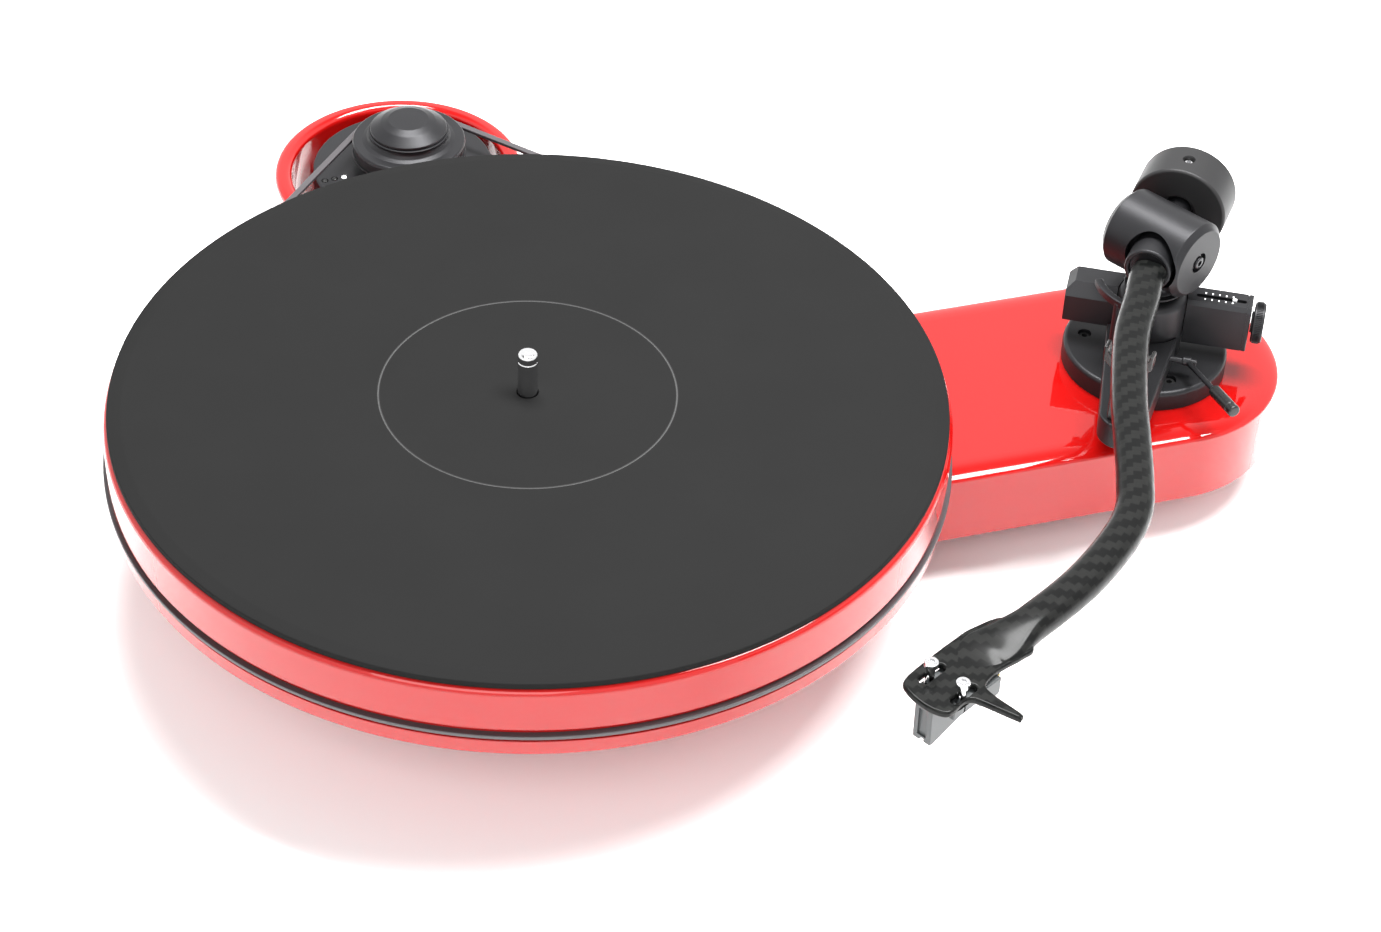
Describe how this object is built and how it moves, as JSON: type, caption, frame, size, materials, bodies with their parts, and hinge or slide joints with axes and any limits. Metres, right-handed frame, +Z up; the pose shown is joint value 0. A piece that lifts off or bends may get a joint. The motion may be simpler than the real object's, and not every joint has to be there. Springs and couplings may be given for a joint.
{
  "type": "turntable record player",
  "caption": "Belt-driven record player: slim plinth with an arm board and motor ring, round platter with mat, free-standing motor, and a one-piece bent tonearm in a gimbal bearing.",
  "frame": {"origin": "centre of the whole footprint, on the shelf the feet stand on", "axes": "+X from the platter spindle towards the tonearm pivot, +Y towards the motor at the back, +Z up"},
  "size_m": [0.4404, 0.4578, 0.1193],
  "materials": {
    "red_lacquer": "high-gloss red lacquer over fibreboard",
    "mat_vinyl": "satin charcoal vinyl",
    "rubber": "matt black rubber",
    "belt_rubber": "ground grey-black rubber",
    "moulded_black": "black moulded plastic",
    "black_anodised": "satin black anodising",
    "black_steel": "satin black coated steel",
    "bright_steel": "polished steel",
    "brass": "turned brass",
    "carbon_fibre": "woven carbon fibre under clear coat",
    "cartridge_grey": "dark grey moulded plastic",
    "lamp_white": "lit white lamp lens",
    "scale_white": "white marking"
  },
  "bodies": {
    "base": {"plinth": "red_lacquer", "foot_1": "moulded_black", "foot_pad_1": "rubber", "foot_2": "moulded_black", "foot_pad_2": "rubber", "foot_3": "moulded_black", "foot_pad_3": "rubber", "main_bearing_housing": "brass", "bearing_ball": "bright_steel", "drive_belt": "belt_rubber", "motor_housing": "black_anodised", "speed_lamp_1": "moulded_black", "speed_lamp_2": "moulded_black", "speed_lamp_3": "lamp_white", "motor_base": "black_anodised", "motor_foot_1": "rubber", "motor_foot_2": "rubber", "motor_foot_3": "rubber", "power_inlet": "moulded_black", "motor_can": "bright_steel", "arm_base": "black_anodised", "arm_base_screw_1": "black_steel", "arm_base_screw_2": "black_steel", "arm_base_screw_3": "black_steel", "socket_box": "moulded_black", "signal_socket_left": "brass", "signal_socket_right": "brass", "ground_terminal": "bright_steel"},
    "turning_platter": {"platter": "red_lacquer", "platter_mat": "mat_vinyl", "record_spindle": "bright_steel"},
    "pulley": {"motor_pulley": "black_anodised", "pulley_cap": "black_anodised", "motor_shaft": "bright_steel"},
    "button": {"speed_button": "moulded_black"},
    "pillar": {"arm_pillar": "black_anodised", "support_block": "black_anodised", "antiskate_housing": "black_anodised", "arm_rest_bracket": "black_anodised", "arm_rest_clip": "moulded_black"},
    "knob": {"antiskate_knob": "black_anodised"},
    "pointer": {"antiskate_pointer": "scale_white"},
    "cue": {"cue_axle": "black_anodised", "cue_lever": "black_anodised", "cue_handle": "moulded_black"},
    "lift": {"lift_bar": "black_anodised"},
    "yoke": {"gimbal_housing": "black_anodised", "yoke_shaft": "black_anodised", "pivot_screw_front": "black_steel", "pivot_screw_rear": "black_steel"},
    "arm": {"arm_hub": "black_anodised", "arm_tube": "carbon_fibre", "cartridge_body": "cartridge_grey", "stylus_holder": "cartridge_grey", "cantilever": "bright_steel", "cartridge_screw_1": "bright_steel", "cartridge_screw_2": "bright_steel"},
    "weight": {"counterweight": "black_steel", "counterweight_set_screw": "bright_steel"}
  },
  "joints": [
    {"name": "platter_spin", "type": "hinge", "parent": "base", "child": "turning_platter", "pos_m": [-0.0694, -0.01373, 0.06], "axis": [0, 0, 1], "continuous": true},
    {"name": "pulley_spin", "type": "hinge", "parent": "base", "child": "pulley", "pos_m": [-0.0674, 0.17767, 0.06], "axis": [0, 0, 1], "continuous": true},
    {"name": "speed_press", "type": "slide", "parent": "base", "child": "button", "axis": [0, 0, -1], "range_m": [0, 0.0012], "stiffness_N_per_m": 400},
    {"name": "arm_height", "type": "slide", "parent": "base", "child": "pillar", "axis": [0, 0, 1], "range_m": [0, 0.006]},
    {"name": "antiskate_turn", "type": "hinge", "parent": "pillar", "child": "knob", "pos_m": [0.17042, -0.01051, 0.07], "axis": [0.8704, -0.4924, 0], "range_deg": [-1800, 180]},
    {"name": "antiskate_slide", "type": "slide", "parent": "pillar", "child": "pointer", "axis": [0.8704, -0.4924, 0], "range_m": [-0.0125, 0.00125]},
    {"name": "cue_turn", "type": "hinge", "parent": "pillar", "child": "cue", "pos_m": [0.1662, -0.03033, 0.062], "axis": [-0.8704, 0.4924, 0], "range_deg": [0, 45]},
    {"name": "lift_slide", "type": "slide", "parent": "pillar", "child": "lift", "axis": [0, 0, 1], "range_m": [0, 0.0065]},
    {"name": "arm_swing", "type": "hinge", "parent": "pillar", "child": "yoke", "pos_m": [0.1686, -0.01373, 0.09], "axis": [0, 0, -1], "range_deg": [0, 38]},
    {"name": "arm_tilt", "type": "hinge", "parent": "yoke", "child": "arm", "pos_m": [0.1686, -0.01373, 0.1015], "axis": [-0.4909, 0.8712, 0], "range_deg": [0, 10]},
    {"name": "weight_slide", "type": "slide", "parent": "arm", "child": "weight", "axis": [0.6252, 0.7804, 0], "range_m": [-0.0008, 0.009]}
  ],
  "couplings": [
    {"joint": "pulley_spin", "follows": "platter_spin", "ratio": 6.7945},
    {"joint": "antiskate_slide", "follows": "antiskate_turn", "m_per_rad": 0.00039789},
    {"joint": "lift_slide", "follows": "cue_turn", "m_per_rad": 0.0082751}
  ]
}
